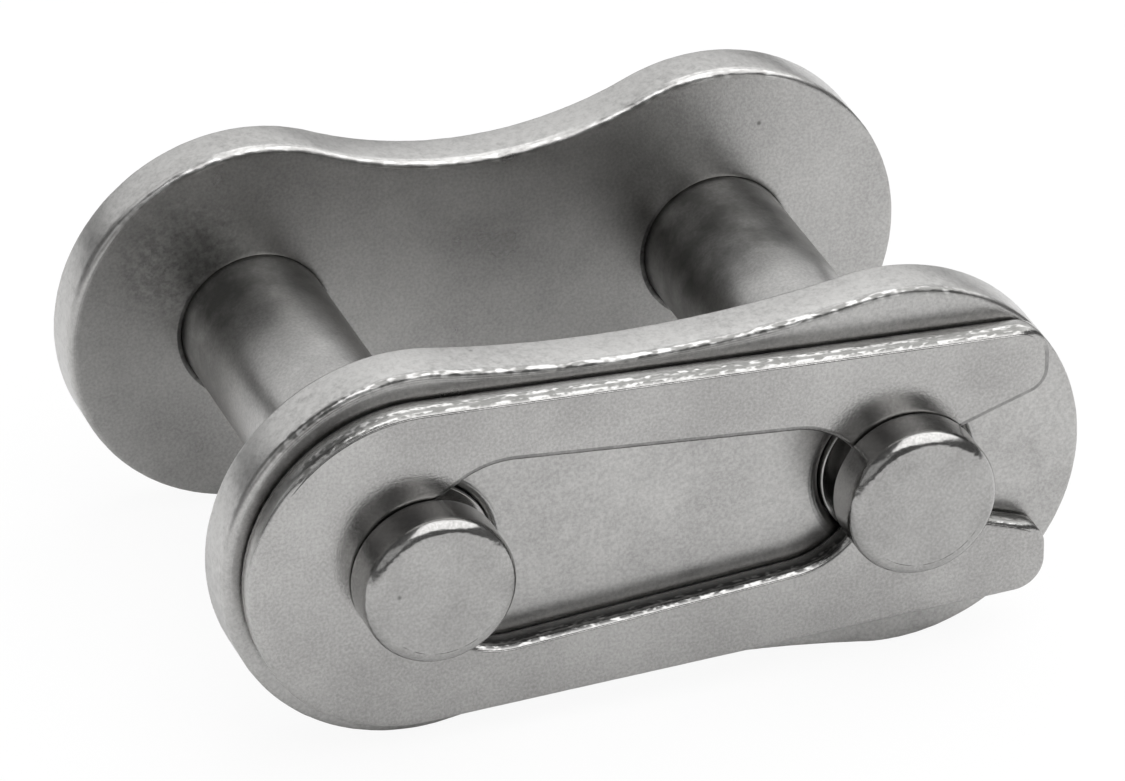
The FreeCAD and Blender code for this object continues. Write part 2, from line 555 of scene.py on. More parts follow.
def stamping_tree() -> Any:
    """The tree that makes a stamped sheet from its outline and its holes.

    Returns:
        The finished tree.
    """
    tree = GeometryTree("stamped_sheet")
    depth, land = tree.size("Thickness"), tree.size("Land")
    outer = tree.size("Outline Front Round"), tree.size("Outline Back Round")
    inner = tree.size("Hole Front Round"), tree.size("Hole Back Round")
    steps = tree.size("Round Steps", "NodeSocketInt")
    centre = tree.size("Place", "NodeSocketVector")
    material = tree.size("Material", "NodeSocketMaterial")
    sheet, mark = tree.source.outputs["Geometry"], tree.named(MARK)
    outline, holes = tree.curves(sheet, mark < MARKED), tree.curves(sheet, mark > MARKED)
    loops = (outline, outer), (holes, inner)
    rims = tree.joined(swept_rim(tree, loop, ends, land, depth, steps) for loop, ends in loops)
    below = tree.level() * -1.0
    inside = tree.maths("MINIMUM", below, depth - below)
    share = {0: inside, 1: outer[0]}
    round_share = tree.out("ShaderNodeMath", share, operation="DIVIDE", use_clamp=True)
    marked = tree.store(tree.store(rims, WALL, round_share), BACK, below / depth)
    rough = uneven(tree, marked, inside > ON_WALL)
    faces = [face_fill(tree, rough, depth, back) for back in (False, True)]
    return tree.finish(tree.joined([rough, *faces]), centre, material)


def turning_tree() -> Any:
    """The tree that turns a profile about a pin's axis.

    Returns:
        The finished tree.
    """
    tree = GeometryTree("turned_pin")
    ring = {"Radius": tree.size("Core Radius"), "Resolution": tree.size("Facets", "NodeSocketInt")}
    centre = tree.size("Place", "NodeSocketVector")
    material = tree.size("Material", "NodeSocketMaterial")
    profile = tree.curves(tree.source.outputs["Geometry"])
    turned = tree.swept(tree.out("GeometryNodeCurvePrimitiveCircle", ring), profile)
    mark = tree.named(MARK)
    marked = tree.store(tree.merged(turned), WALL, mark)
    return tree.finish(uneven(tree, marked, mark > MARKED), centre, material)


def drawn(name: str, wires: Sequence[Wire], tree: Any, sizes: dict[str, Any]) -> Any:
    """Draws paths as mesh edges, runs a tree on them and keeps the result as a plain mesh.

    Args:
        name: The piece's name.
        wires: The paths.
        tree: The Geometry Nodes tree.
        sizes: The tree's inputs by name.

    Returns:
        The finished object, with faces that point outwards.
    """
    points, edges = [], []
    for wire in wires:
        first, count = len(points), len(wire.points)
        points += [(x * MM, z * MM, 0.0) for x, z in wire.points]
        sides = count if wire.closed else count - 1
        edges += [(first + i, first + (i + 1) % count) for i in range(sides)]
    sketch = bpy.data.meshes.new(name + "_path")
    sketch.from_pydata(points, edges, [])
    for label in (MARK, PAINTED_SHADE, TOP, INNER):
        attribute = sketch.attributes.new(label, "FLOAT", "POINT")
        attribute.data.foreach_set("value", [v for wire in wires for v in wire.value(label)])
    shown = bpy.data.objects.new(name, sketch)
    bpy.context.scene.collection.objects.link(shown)
    modifier = shown.modifiers.new("shape", "NODES")
    modifier.node_group = tree
    for item in tree.interface.items_tree:
        if item.in_out == "INPUT" and item.name in sizes:
            modifier[item.identifier] = sizes[item.name]
    graph = bpy.context.evaluated_depsgraph_get()
    made = bpy.data.meshes.new_from_object(shown.evaluated_get(graph))
    made.name = name
    made.materials.clear()
    made.materials.append(sizes["Material"])
    made.polygons.foreach_set("material_index", [0] * len(made.polygons))
    shown.modifiers.remove(modifier)
    shown.data = made
    face_outwards(made)
    return shown


def face_outwards(mesh: Any) -> None:
    """Turns every face of a closed mesh outwards."""
    work = bmesh.new()
    work.from_mesh(mesh)
    bmesh.ops.recalc_face_normals(work, faces=work.faces)
    if work.calc_volume(signed=True) < 0:
        bmesh.ops.reverse_faces(work, faces=work.faces)
    work.to_mesh(mesh)
    work.free()


# Finishes


@dataclass(frozen=True)
class Pattern:
    """Noise that is read from low to high, as a share from start to end. Size is in mm."""

    size: float
    detail: float
    offset: float
    span: tuple[float, float]
    start: float = 0.0
    end: float = 1.0


# Mottles the pins' stain and painted shade towards the back plate.
STAIN_AND_SHADE_PATCHES = Pattern(0.9, 3.0, 7.0, (0.3, 0.65), 0.3, 0.85)
# Breaks up the painted shade round the holes and along the clip's edges.
PAINTED_SHADE_PATCHES = Pattern(0.40, 2.0, 23.0, (0.3, 0.6), 0.60)
# Frays the edge of the dark torn zone, which is partly painted shade.
FRAYING = Pattern(0.35, 2.0, 17.0, (0.3, 0.7), end=0.12)
SMUDGE_SPECKS = Pattern(0.17, 4.0, 29.0, (0.40, 0.62), end=0.50)
SCRATCHES = Pattern(0.20, 5.0, 13.0, (0.38, 0.62))

# Size, detail and seed of the noises, without the size where a finish has its own.
CLOUD_NOISE = 3.0, 0.0
GRAIN_NOISE = 3.0, 3.0
DOT_NOISE = 1.0, 19.0
TURNING_NOISE = 0.10, 2.0, 11.0
TURNING_STRETCH = 0.06, 1.0, 0.06

# Spans that a noise or a stored value is read over.
ROUGH_CLOUDS = 0.3, 0.7
TONE_CLOUDS = 0.35, 0.65
TONE_GRAIN = 0.36, 0.64
PIT_EDGE = 0.02, 0.055
PIT_LOT_BLEND = 0.01
SHINING_DOTS = 0.50, 0.60
LIT_DOTS = 0.44, 0.56
ROUND_START = 0.0, 0.25
PAINTED_SHADE_LINE = 0.1, 0.8
RIM_LINE = 0.1, 0.6
TORN_AND_SHADE_EDGE = 0.02, 0.12
LIP_END = 0.35, 0.45

# Shares and depths of the layers. Depths are in millimetres.
GRAIN_TONE = 0.55
CLOUD_TONE = 0.45
CLOUD_HEIGHT = 0.3
MARKS_SHARE = 0.5
GRAIN_DEPTH = 0.006
PIT_SHADE = 0.8
PIT_HEIGHT = 0.5
TORN_AND_SHADE_SHARE = 0.92
SHEARED_SHARE = 0.85
SHEARED_ROLL = 0.6
SHEARED_DOTS = 0.05
DOT_FADE = 0.6
SMUDGE_CORE = 0.4
HEAD_BLEND = 0.3


@dataclass(frozen=True)
class SatinSteel:
    """Bright satin plating over stamped or turned steel. Sizes are in millimetres."""

    name: str
    light: Colour = (0.52, 0.515, 0.505)
    dark: Colour = (0.325, 0.32, 0.315)
    # Dark tone of pits, smudges and stains, also used for painted shade on edges and pins.
    speck_and_shade: Colour = (0.12, 0.12, 0.115)
    # Painted highlight: the bright dots on edges that look up, partly burnished scallops.
    highlight_and_burnish: Colour = (0.70, 0.70, 0.69)
    # Painted shade round the holes and along the clip's marked edges.
    painted_shade: Colour = (0.04, 0.04, 0.04)
    # Painted shade: the slot's walls nearly black.
    shear: Colour = (0.012, 0.012, 0.012)
    cloud: float = 2.2
    grain: float = 0.08
    smooth: float = 0.22
    rough: float = 0.34
    bump: float = 0.55
    pit_gap: float = 1.5
    pit_share: float = 0.16
    cut_light: float = 0.02
    cut_share: float = 1.0
    cut_rough: float = 0.34
    dot: float = 0.18
    dot_height: float = 0.030
    dot_stretch: float = 0.55
    dot_reach: float = 0.20
    rows: tuple[Point, ...] = ((0.0, 1.0), (1.0, 1.0))
    dot_share: float = 0.5
    # Painted shade between the highlight dots on edges that look up.
    shade_between_dots_share: float = 0.55
    roll_reach: float = 0.20
    roll_height: float = 0.11
    lip: float = 0.0
    # Where the dark torn zone starts on the outer and inner walls: partly torn metal, partly
    # painted shade in the gap behind the sheet.
    torn_and_shade_start: float = 1.0
    inner_torn_and_shade_start: float = 1.0
    torn_rough: float = 0.5
    # How strong the painted shade round the holes and along the edges is.
    painted_shade_share: float = 1.0
    smudge: Point | None = None
    smudge_radius: float = 2.3
    head_dull: float = 0.0
    turned: bool = False
    stem_start: float = 0.0
    stem_rough: float = 0.0
    # Where a pin's stem darkens: a stain and painted shade between the plates.
    stain_and_shade_start: float = 0.0
    stain_and_shade_end: float = 0.0
    seed: float = 0.0

    def build(self) -> Any:
        """Makes the material.

        Returns:
            The node-based material.
        """
        return SteelShader(self).material


class SteelShader(NodeTree):
    """The node tree of one satin steel finish, on Object coordinates, with clamped sums."""

    clamped: bool = True

    def __init__(self, finish: SatinSteel) -> None:
        """Builds the tree of the finish.

        Args:
            finish: The sizes and colours that it follows.
        """
        self.finish = finish
        self.material = bpy.data.materials.new(finish.name)
        self.material.use_nodes = True
        super().__init__(self.material.node_tree)
        self.tree.nodes.clear()
        self.place = self.out("ShaderNodeTexCoord", pick="Object")
        self.build()

    def noise(self, size: float, detail: float, offset: float, place: Any = None) -> Value:
        """Noise with features of a size in millimetres."""
        inputs = {
            "Vector": place or self.place,
            "W": self.finish.seed + offset,
            "Scale": 1.0 / (size * MM),
            "Detail": detail,
            "Roughness": NOISE_ROUGHNESS,
        }
        return self.out("ShaderNodeTexNoise", inputs, pick="Fac", noise_dimensions="4D")

    def between(self, value: Any, span: Point, start: float = 0.0, end: float = 1.0) -> Value:
        """Maps a value from a span to start and end, clamped."""
        low, high = span
        inputs = {"Value": value, "From Min": low, "From Max": high}
        return self.out("ShaderNodeMapRange", {**inputs, "To Min": start, "To Max": end})

    def share(self, pattern: Pattern) -> Value:
        """The share that a pattern gives."""
        noise = self.noise(pattern.size, pattern.detail, pattern.offset)
        return self.between(noise, pattern.span, pattern.start, pattern.end)

    def mixed(self, share: Any, first: Any, second: Any) -> Value:
        """Two colours mixed by a share."""
        first, second = (c if isinstance(c, Value) else (*c, 1.0) for c in (first, second))
        return self.out("ShaderNodeMix", {0: share, 6: first, 7: second}, pick=2, data_type="RGBA")

    def stored(self, name: str) -> Value:
        """A named value that the piece's mesh holds, 0 where it has none."""
        return self.out("ShaderNodeAttribute", pick="Fac", attribute_name=name)

    def stretched(self, scale: tuple[float, float, float]) -> Value:
        """The place, scaled so that noise on it comes out longer where the scale is small."""
        return self.out("ShaderNodeMapping", {"Vector": self.place, "Scale": scale})

    def depth(self) -> Value:
        """The place along a pin."""
        return self.out("ShaderNodeSeparateXYZ", {0: self.place}, pick=1)

    def behind_head(self, start: float, end: float) -> Value:
        """A share that changes from a pin's head to its stem."""
        first = self.finish.stem_start
        return self.between(self.depth(), (first * MM, (first + HEAD_BLEND) * MM), start, end)

    def pits(self) -> Value:
        """Where the few small pits are: 1 in a pit and 0 elsewhere."""
        finish = self.finish
        scale = 1.0 / (finish.pit_gap * MM)
        inputs = {"Vector": self.place, "Scale": scale, "Randomness": 1.0}
        cells = self.add("ShaderNodeTexVoronoi", inputs).outputs
        near = self.between(cells["Distance"], PIT_EDGE, 1.0, 0.0)
        lot = self.out("ShaderNodeSeparateColor", {0: cells["Color"]})
        few = finish.pit_share, finish.pit_share + PIT_LOT_BLEND
        return near * self.between(lot, few, 1.0, 0.0)

    def satin(self, cloud: Value) -> Value:
        """The roughness, cloudy, and higher on a pin's stem than on its head."""
        finish = self.finish
        rough = self.between(cloud, ROUGH_CLOUDS, finish.smooth, finish.rough)
        if finish.turned:
            return self.maths("MAXIMUM", rough, self.behind_head(0.0, finish.stem_rough))
        outer = self.stored(WALL) - self.stored(INNER)
        return self.maths("MAXIMUM", rough, outer * finish.cut_rough)

    def stain_and_shade(self) -> Any:
        """How dark a pin is: the head a little darker than the stem, and the stem darker and
        mottled towards the plate that holds it, partly a stain and partly painted shade between
        the plates.
        """
        finish = self.finish
        if not finish.turned:
            return 0.0
        near = self.between(self.depth(), (finish.stain_and_shade_start * MM, finish.stain_and_shade_end * MM))
        return self.behind_head(finish.head_dull, 0.0) + near * self.share(STAIN_AND_SHADE_PATCHES)

    def edge(self, cut: Value) -> Value:
        """Where the rounded front edge looks up: 1 on it, 0 on the flats and further back."""
        reach = self.finish.dot_reach
        near = self.between(self.stored(BACK), (reach * DOT_FADE, reach), 1.0, 0.0)
        if not self.finish.turned:
            near = near * self.stored(TOP)
        return near * self.between(cut, ROUND_START)

    def in_rows(self) -> Value:
        """How strongly the dots show from an edge's front to its back."""
        ramp = self.add("ShaderNodeValToRGB", {0: self.stored(BACK)})
        steps = ramp.color_ramp.elements
        while len(steps) < len(self.finish.rows):
            steps.new(0.5)
        for step, (place, share) in zip(steps, self.finish.rows):
            step.position, step.color = place, (share, share, share, 1.0)
        return Value(self, ramp.outputs[0])

    def rolled(self, cut: Value) -> Value:
        """The height of the rolled-over edge in millimetres.

        Args:
            cut: How far round the edge a place is: 0 on the flat and 1 on the wall.

        Returns:
            The height. It rises over the front part of the wall, and where the edge looks up
            it starts higher on the flat, so that the whole round looks up.
        """
        finish = self.finish
        rest = self.between(self.stored(BACK), (0.0, finish.roll_reach), 1.0, 0.0)
        outside = 1.0 - self.stored(INNER) * SHEARED_ROLL
        wall = (1.0 - rest * rest) * outside * finish.roll_height
        if not finish.lip:
            return wall
        front = self.maths("MAXIMUM", cut, self.between(self.stored(BACK), LIP_END))
        fall = self.maths("SQRT", front) - front * 0.5
        return wall + (0.5 - fall) * self.stored(TOP) * finish.lip

    def painted_shading(self) -> Any:
        """Painted shade round the holes and along the edges that are marked for it."""
        if not self.finish.painted_shade_share:
            return 0.0
        line = self.between(self.stored(PAINTED_SHADE), PAINTED_SHADE_LINE, end=self.finish.painted_shade_share)
        return line * self.share(PAINTED_SHADE_PATCHES) * self.between(self.stored(RIM), RIM_LINE)

    def torn_and_shaded(self, cut: Value, inner: Value) -> Any:
        """Where a punched edge is torn and dark, towards the sheet's back: partly the torn zone,
        partly painted shade in the gap behind the clip and on the slot's walls.
        """
        finish = self.finish
        if finish.torn_and_shade_start >= 1.0:
            return 0.0
        start = finish.torn_and_shade_start - inner * (finish.torn_and_shade_start - finish.inner_torn_and_shade_start)
        over = self.stored(BACK) + self.share(FRAYING) - start
        return cut * self.between(over, TORN_AND_SHADE_EDGE, end=TORN_AND_SHADE_SHARE)

    def smudged(self) -> Any:
        """A speckled dark smudge round a place on the sheet."""
        finish = self.finish
        if finish.smudge is None:
            return 0.0
        x, z = finish.smudge
        flat = {0: self.place, 1: (1.0, 0.0, 1.0)}
        place = self.out("ShaderNodeVectorMath", flat, operation="MULTIPLY")
        ends = {0: place, 1: (x * MM, 0.0, z * MM)}
        away = self.out("ShaderNodeVectorMath", ends, pick="Value", operation="DISTANCE")
        radius = finish.smudge_radius * MM
        near = self.between(away, (radius * SMUDGE_CORE, radius), 1.0, 0.0)
        return near * self.share(SMUDGE_SPECKS)

    def texture(self, grain: Value, cloud: Value) -> Value:
        """The height of the surface's grain, with turning marks on a pin."""
        if not self.finish.turned:
            return grain + cloud * CLOUD_HEIGHT
        marks = self.noise(*TURNING_NOISE, self.stretched(TURNING_STRETCH))
        inputs = {0: MARKS_SHARE, 2: grain, 3: marks}
        return self.out("ShaderNodeMix", inputs, data_type="FLOAT")

    def bumped(self, heights: Iterable[tuple[float, float, Value]]) -> Value:
        """The normal over heights that lie on each other.

        Args:
            heights: Each one's strength, its depth in millimetres and its height.

        Returns:
            The normal.
        """
        normal: dict[str, Value] = {}
        for strength, depth, height in heights:
            inputs = {"Strength": strength, "Distance": depth * MM, "Height": height}
            normal = {"Normal": self.out("ShaderNodeBump", {**inputs, **normal})}
        return normal["Normal"]

    def build(self) -> None:
        """Joins the patterns to the shader's colour, roughness and bump."""
        finish = self.finish
        cloud = self.noise(finish.cloud, *CLOUD_NOISE)
        grain = self.noise(finish.grain, *GRAIN_NOISE)
        along = self.stretched((finish.dot_stretch, 1.0, 1.0))
        dot = self.noise(finish.dot, *DOT_NOISE, along)
        cut, inner = self.stored(WALL), self.stored(INNER)
        edge, rows, pits = self.edge(cut), self.in_rows(), self.pits()
        torn_and_shaded = self.torn_and_shaded(cut, inner)
        tone = self.between(grain, TONE_GRAIN, end=GRAIN_TONE)
        tone = tone + self.between(cloud, TONE_CLOUDS, end=CLOUD_TONE)
        sheared = cut - inner * SHEARED_SHARE
        bright = tuple(c + finish.cut_light for c in finish.light)
        # Dark tone of the torn zone and of painted shade on edges, nearly black on the slot's
        # walls.
        shade_and_torn_tone = self.mixed(inner, finish.speck_and_shade, finish.shear)
        fewer = dot - inner * SHEARED_DOTS
        shining = self.between(fewer, SHINING_DOTS, end=finish.dot_share) * rows
        lit = self.between(fewer, LIT_DOTS) * rows
        layers = (
            (sheared * self.share(replace(SCRATCHES, end=finish.cut_share)), bright),
            (self.smudged(), finish.speck_and_shade),
            # Painted highlight: bright dots where the edge looks up, partly burnished scallops.
            (edge * shining, finish.highlight_and_burnish),
            # Painted shade between the highlight dots, nearly black on the slot's walls.
            (edge * finish.shade_between_dots_share * (1.0 - lit), shade_and_torn_tone),
            # Painted shade round the holes and along the clip's marked edges.
            (self.painted_shading(), finish.painted_shade),
            # Torn zone, partly painted shade in the gap behind the clip and on the slot's walls.
            (torn_and_shaded, shade_and_torn_tone),
            # Stain and painted shade on a pin towards the back plate.
            (self.stain_and_shade(), finish.speck_and_shade),
            (pits * PIT_SHADE, finish.speck_and_shade),
        )
        colour = self.mixed(tone, finish.dark, finish.light)
        for share, tint in layers:
            colour = self.mixed(share, colour, tint)
        height = self.texture(grain, cloud) - pits * PIT_HEIGHT
        heights = (
            (finish.bump, GRAIN_DEPTH, height),
            (1.0, 1.0, self.rolled(cut)),
            (1.0, finish.dot_height, edge * dot),
        )
        torn_rough = self.maths("MULTIPLY", torn_and_shaded, finish.torn_rough)
        inputs = {
            "Base Color": colour,
            "Metallic": 1.0,
            "Roughness": self.maths("MAXIMUM", self.satin(cloud), torn_rough),
            "Normal": self.bumped(heights),
        }
        shader = self.out("ShaderNodeBsdfPrincipled", inputs)
        self.add("ShaderNodeOutputMaterial", {"Surface": shader})


# Sub-assemblies

TOP_FACING = -0.20, 0.98
TOP_START = 0.78
TOP_BLEND = 0.10


def top_edges(loop: Sequence[Point]) -> list[float]:
    """1 where an outline looks up, a little to the closed end, and 0 elsewhere."""
    return [min(1.0, max(0.0, (a - TOP_START) / TOP_BLEND)) for a in facing(loop, TOP_FACING)]


def softened(values: Sequence[float], reach: int) -> list[float]:
    """A closed path's values, each averaged with as many neighbours each way."""
    count, near = len(values), range(-reach, reach + 1)
    return [sum(values[(i + k) % count] for k in near) / len(near) for i in range(count)]


def sheet_inputs(
    sheet: "StampedPlate | SpringClip", low: Vector, high: Vector, holes: Point
) -> dict[str, Any]:
    """The stamping tree's inputs for a sheet.

    Args:
        sheet: The plate or the clip.
        low: The lowest corner of its node.
        high: The highest corner.
        holes: The rounds of its holes, at the front and the back.

    Returns:
        The inputs by name.
    """
    lengths = {
        "Land": sheet.land,
        "Outline Front Round": sheet.front_round,
        "Outline Back Round": sheet.edge_round,
        "Hole Front Round": holes[0],
        "Hole Back Round": holes[1],
        "Unevenness": sheet.unevenness,
        "Grain": sheet.grain,
    }
    return {
        **{name: length * MM for name, length in lengths.items()},
        "Thickness": high.y - low.y,
        "Round Steps": sheet.round_steps,
        "Seed": sheet.seed,
        "Place": (0.0, low.y, (low.z + high.z) / 2),
        "Material": sheet.finish.build(),
    }


@dataclass
class StampedPlate:
    """A waisted link plate with both pin holes punched. Sizes are in millimetres."""

    node: str
    body: Body
    finish: SatinSteel
    waist_half_height: float
    hole_radius: float
    hole_front_round: float
    seed: float
    half_pitch: float = 6.35
    front_round: float = 0.17
    edge_round: float = 0.12
    hole_back_round: float = 0.03
    land: float = 0.05
    step: float = 0.09
    round_steps: int = 5
    unevenness: float = 0.020
    grain: float = 0.30
    # How the painted shade round each hole changes with the direction that its rim looks.
    painted_shade_facing: Point = (0.50, 0.87)
    painted_shade_mean: float = 0.55
    painted_shade_swing: float = 0.9
    painted_shade_least: float = 0.05

    def outline(self, end: float) -> list[Point]:
        """The plate's outline, counter-clockwise.

        Args:
            end: The radius of its round ends.

        Returns:
            The closed loop's points.
        """
        waist, half = self.waist_half_height, self.half_pitch
        hollow = (waist**2 + half**2 - end**2) / (2 * (end - waist))
        lean = math.atan2(waist + hollow, half)
        step = self.step
        right = arc_points((half, 0), end, lean - math.pi, math.pi - lean, step)
        top = arc_points((0, waist + hollow), hollow, -lean, lean - math.pi, step)
        left = arc_points((-half, 0), end, lean, 2 * math.pi - lean, step)
        bottom = arc_points((0, -waist - hollow), hollow, math.pi - lean, lean, step)
        return joined([right, top, left, bottom])

    def holes(self) -> list[list[Point]]:
        """The two pin holes, clockwise."""
        centres = [(side.value * self.half_pitch, 0.0) for side in Side]
        size = self.hole_radius, 0, -2 * math.pi, self.step
        return [joined([arc_points(centre, *size)]) for centre in centres]

    def build(self, tree: Any) -> Any:
        """Makes the plate in the place of its node.

        Args:
            tree: The stamping tree.

        Returns:
            The finished piece.
        """
        low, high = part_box(self.node)
        holes = self.hole_front_round, self.hole_back_round
        outline = self.outline((high.z - low.z) / 2 / MM)
        wires = [Wire(outline, values={TOP: top_edges(outline)})]
        for hole in self.holes():
            # Painted shade round each hole, darkest at its lower left and least at its upper
            # right.
            hole_shade = [self.painted_shade_mean - self.painted_shade_swing * a for a in facing(hole, self.painted_shade_facing)]
            painted_shade = [min(1.0, max(self.painted_shade_least, share)) for share in hole_shade]
            wires.append(Wire(hole, values={MARK: [1.0] * len(hole), PAINTED_SHADE: painted_shade}))
        sizes = sheet_inputs(self, low, high, holes)
        return drawn(self.node + "_satin", wires, tree, sizes)


@dataclass
class TurnedPin:
    """A pin with a riveted end, a groove for the clip and a head. Sizes are in millimetres."""

    side: Side
    finish: SatinSteel
    seed: float
    groove_front: float = 1.30
    groove_width: float = 0.80
    groove_radius: float = 1.40
    head_round: float = 0.35
    head_back_round: float = 0.06
    shoulder_round: float = 0.05
    rivet_round: float = 0.40
    round_margin: float = 0.001
    core: float = 0.01
    facets: int = 160
    unevenness: float = 0.006
    grain: float = 0.30
    end_step: float = 0.15
    head_step: float = 0.12
    stem_step: float = 0.2
    corner_step_share: float = 0.16
    body: Body = Body.PIN_LINK

    @property
    def node(self) -> str:
        """The name of the pin's node."""
        return "pin_" + self.side.name.lower()

    def corner(self, centre: Point, size: float, start: float, end: float) -> list[Point]:
        """A rounded corner of the profile.

        Args:
            centre: The round's centre.
            size: The round's radius.
            start: The angle that it starts at, in degrees.
            end: The angle that it ends at.

        Returns:
            The points of the round.
        """
        turn = math.radians(start), math.radians(end)
        return arc_points(centre, size, *turn, size * self.corner_step_share)

    def profile(self, radius: float, length: float) -> list[Point]:
        """Half the pin's section, from the head's middle to the riveted end's middle.

        Args:
            radius: The pin's radius.
            length: Its length.

        Returns:
            Distance from the axis and depth behind the head, for each point.
        """
        head, back, neck = self.head_round, self.head_back_round, self.groove_radius
        shoulder, rivet = self.shoulder_round, self.rivet_round
        groove, stem = self.groove_front, self.groove_front + self.groove_width
        step = self.head_step
        path = line_points((0, 0), (radius - head, 0), self.end_step)
        path += self.corner((radius - head, head), head, -90, 0)
        path += line_points((radius, head), (radius, groove - back), step)
        path += self.corner((radius - back, groove - back), back, 0, 90)
        path += line_points((radius - back, groove), (neck, groove), step)
        path += line_points((neck, groove), (neck, stem), step)
        path += line_points((neck, stem), (radius - shoulder, stem), step)
        path += self.corner((radius - shoulder, stem + shoulder), shoulder, -90, 0)
        path += line_points((radius, stem + shoulder), (radius, length - rivet), self.stem_step)
        path += self.corner((radius - rivet, length - rivet), rivet, 0, 90)
        path += line_points((radius - rivet, length), (0, length), self.end_step)
        return [(r - self.core, depth) for r, depth in distinct(path)]

    def build(self, tree: Any) -> Any:
        """Makes the pin in the place of its node.

        Args:
            tree: The turning tree.

        Returns:
            The finished piece.
        """
        low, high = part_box(self.node)
        radius, length = (high.x - low.x) / 2 / MM, (high.y - low.y) / MM
        sizes = {
            "Core Radius": self.core * MM,
            "Facets": self.facets,
            "Unevenness": self.unevenness * MM,
            "Grain": self.grain * MM,
            "Seed": self.seed,
            "Place": ((low.x + high.x) / 2, low.y, (low.z + high.z) / 2),
            "Material": self.finish.build(),
        }
        profile = self.profile(radius, length)
        rim = radius - self.head_round - self.core + self.round_margin
        marks = [1.0 if d < self.head_round and r > rim else 0.0 for r, d in profile]
        return drawn(self.node + "_satin", [Wire(profile, False, {MARK: marks})], tree, sizes)


